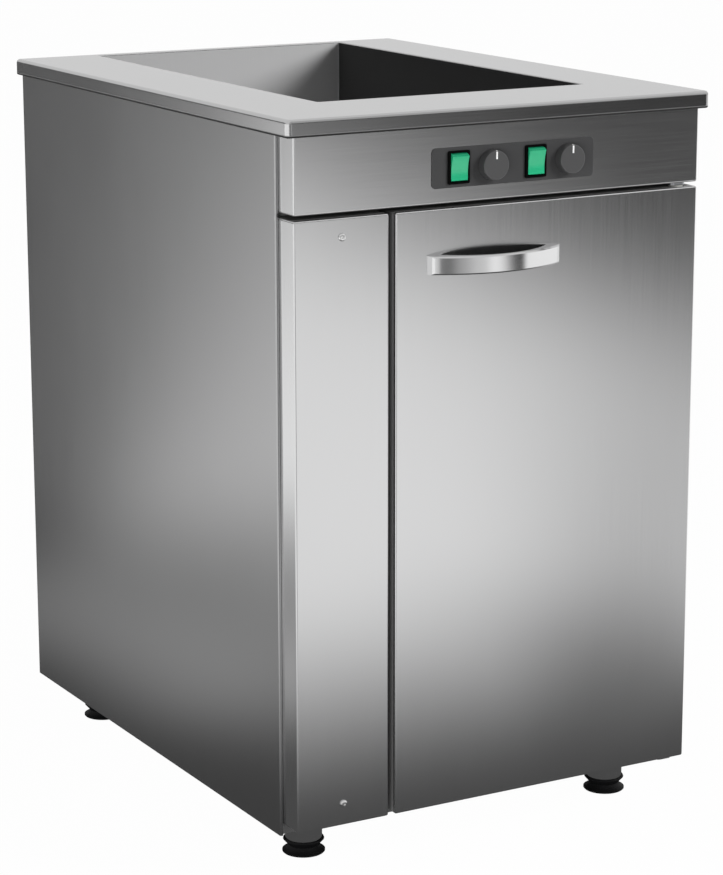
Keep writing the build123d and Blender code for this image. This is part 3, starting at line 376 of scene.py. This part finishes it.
def add_piece(name, shape, material, body):
    """Turn a finished mesh into a piece that rides on a body."""
    mesh = bpy.data.meshes.new(name)
    shape.to_mesh(mesh)
    shape.free()
    mesh.materials.append(material)
    piece = bpy.data.objects.new(name, mesh)
    bpy.context.scene.collection.objects.link(piece)
    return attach(piece, body)


for side in ("left", "right"):
    low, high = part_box(f"{side}_knob")
    middle = (low.x + high.x) / 2
    crown = high.z - knob_crown_inset
    left_edge, right_edge = middle - pointer_half_width, middle + pointer_half_width
    pointer = bmesh.new()
    rounded_bar(pointer, (left_edge, low.y - pointer_proud, crown - pointer_face_length),
                (right_edge, low.y + pointer_sunk, crown - pointer_face_gap))
    rounded_bar(pointer, (left_edge, low.y + pointer_side_start, crown - pointer_sunk),
                (right_edge, low.y + pointer_side_end, crown + pointer_proud))
    add_piece(f"{side}_knob_pointer", pointer, pointer_white, f"{side}_knob")


# Studio: floor, surroundings, lamps

footprint_half_width, footprint_half_depth = 0.29, 0.39
front_line, rear_line, left_line = -0.3, 0.38, -0.28
least_reach = 0.05
left_shade, right_shade = 0.35, 0.12
pool_level, shade_level, foot_lift = 0.94, 0.09, 0.4
far_dark_in_shade = 0.7
ground_grey = 0.8
whiteness = 0.985
floor_half = 30.0


def mirrored_floor(graph):
    """The painted light and shade of the floor, in what the steel mirrors."""
    x, y, z = graph.coordinates()
    in_front = graph.fade(y, -0.5, -0.3)
    beside_left = graph.fade(x, -0.6, -0.3) * graph.ease(y, -0.2, 0.3)
    beside_right = graph.ease(x, 0.3, 0.6) * in_front
    # A shade round the footprint, which reaches further out on the left and the right
    beside = (x.size() - footprint_half_width).larger(0.0)
    before = (y.size() - footprint_half_depth).larger(0.0)
    away = (beside * beside + before * before).root()
    pool = graph.ease(away - beside_left * left_shade - beside_right * right_shade, 0.1, 1.1)
    # Painted dark areas on the floor before the front, which stand in for dark flags, by how far they
    # lie to the side for each metre ahead
    slant = x / (front_line - y).larger(least_reach)
    not_beyond = graph.fade(slant, 0.95, 1.25) * in_front
    far_right = graph.ease(x - graph.ease(y, -6.2, -4.6, 0.6, 0.0), 1.5, 3.0) * not_beyond
    near_right = graph.ease(slant, 0.52, 0.85) * not_beyond
    straight = (graph.ease(slant, -0.3, -0.1) * graph.fade(slant, 0.12, 0.34)
                * graph.fade(y, -2.2, -1.4))
    leftward = (graph.ease(slant, -0.62, -0.52) * graph.fade(slant, -0.4, 0.12)
                * graph.fade(y, -1.4, -0.8))
    for dark_area, darkness in ((far_right, 0.97), (near_right, 0.42), (straight, 0.35), (leftward, 0.88)):
        pool = pool * (1 - dark_area * darkness)
    # The shade behind the object, which ends at a slant on its left
    clear = graph.ease((left_line - x) / (y - rear_line).larger(least_reach), 0.54, 0.67, 0.0, 1.05)
    clear = clear.larger(graph.fade(y, 0.3, 1.1)).larger(graph.ease(x, -0.3, 0.6))
    # Some light close to the foot of the left side
    lifted = beside_left * graph.fade(away, 0.2, 1.0) * graph.ease(y, -0.1, 0.4)
    return (pool * clear * pool_level + shade_level * (1 - far_right * far_dark_in_shade)
            + lifted * foot_lift)


def studio_floor():
    """White floor with a faint shadow of the object, and with light and dark areas for the steel."""
    material, graph = finish("studio_floor")
    camera_ray = graph.node("ShaderNodeLightPath", output="Is Camera Ray")
    mirrored = camera_ray.sibling("Is Glossy Ray").larger(camera_ray.sibling("Is Transmission Ray"))
    white = graph.node("ShaderNodeEmission", {}, {"Color": (1, 1, 1, 1), "Strength": 1.0})
    lit = graph.node("ShaderNodeEmission", {}, {"Color": mirrored_floor(graph), "Strength": 1.0})
    ground = graph.node("ShaderNodeBsdfDiffuse", {},
                        {"Color": (ground_grey, ground_grey, ground_grey, 1)})
    seen = graph.node("ShaderNodeMixShader", {}, {0: camera_ray * whiteness, 1: ground, 2: white})
    both = graph.node("ShaderNodeMixShader", {}, {0: mirrored, 1: seen, 2: lit})
    graph.node("ShaderNodeOutputMaterial", {}, {"Surface": both})
    return material


ground = bmesh.new()
bmesh.ops.create_grid(ground, x_segments=1, y_segments=1, size=floor_half)
floor_mesh = bpy.data.meshes.new("floor")
ground.to_mesh(floor_mesh)
ground.free()
floor_mesh.materials.append(studio_floor())
floor = bpy.data.objects.new("floor", floor_mesh)
bpy.context.scene.collection.objects.link(floor)

dark_sky, rear_sky, overhead_sky = 0.1, 0.74, 0.68
patch_right, patch_front, patch_up = 0.75, 0.5, 0.43
patch_level = 0.95
scatter_cut = 0.95

world = bpy.data.worlds.new("studio")
world.use_nodes = True
bpy.context.scene.world = world
sky = Graph(world.node_tree)
toward_right, toward_rear, upward = sky.coordinates("Generated")
camera_ray = sky.node("ShaderNodeLightPath", output="Is Camera Ray")
rear = sky.ease(toward_rear, -0.1, 0.6).larger(sky.ease(toward_right, 0.75, 0.95))
low_light = (rear * sky.ease(toward_right, -0.35, 0.15, dark_sky, rear_sky)
             + (1 - rear) * dark_sky)
overhead = sky.ease(upward, 0.07, 0.22)
glow = low_light * (1 - overhead) + overhead_sky * overhead
# A soft patch of light, low on the front right, takes the lamps' place in what the steel mirrors
patch = sky.ease(toward_right * patch_right - toward_rear * patch_front + upward * patch_up, 0.84, 0.97)
glow = glow.larger(patch * patch_level)
# What is matt gets its light from the lamps, so that it keeps its shadows
glow = glow * (1 - camera_ray.sibling("Is Diffuse Ray") * scatter_cut)
background = sky.node("ShaderNodeBackground", {}, {"Color": camera_ray.larger(glow), "Strength": 1.0})
sky.node("ShaderNodeOutputWorld", {}, {"Surface": background})


def soft_lamp(name, place, target, width, height, power):
    """A rectangular soft lamp, aimed at a point, that the steel doesn't mirror."""
    lamp = bpy.data.lights.new(name, "AREA")
    lamp.shape = "RECTANGLE"
    lamp.size = width
    lamp.size_y = height
    lamp.energy = power
    lamp_object = bpy.data.objects.new(name, lamp)
    lamp_object.location = place
    lamp_object.rotation_mode = "QUATERNION"
    lamp_object.rotation_quaternion = (Vector(target) - Vector(place)).to_track_quat("-Z", "Y")
    lamp_object.visible_glossy = False
    bpy.context.scene.collection.objects.link(lamp_object)


soft_lamp("key", place=(2.6, -2.7, 2.3), target=(0.0, 0.2, 0.75), width=1.4, height=1.4, power=125)
soft_lamp("fill", place=(-3.2, -2.6, 0.5), target=(0.0, -0.2, 0.6), width=3.6, height=0.7, power=95)


# Camera at the photograph's place

camera_place = (-1.7594, -3.1346, 1.2880)
camera_azimuth = math.radians(29.528)
camera_drop = math.radians(13.398)
camera_roll = math.radians(-0.079)
camera = bpy.data.objects.new("camera", bpy.data.cameras.new("camera"))
camera.data.sensor_width = 36.0
camera.data.lens = 117.5
camera.data.clip_end = 200.0
view = Vector((math.sin(camera_azimuth) * math.cos(camera_drop),
               math.cos(camera_azimuth) * math.cos(camera_drop), -math.sin(camera_drop)))
turn = view.to_track_quat("-Z", "Y").to_matrix().to_4x4() @ Matrix.Rotation(camera_roll, 4, "Z")
camera.matrix_world = Matrix.Translation(camera_place) @ turn
bpy.context.scene.collection.objects.link(camera)
bpy.context.scene.camera = camera

bpy.context.scene.view_settings.view_transform = "Standard"
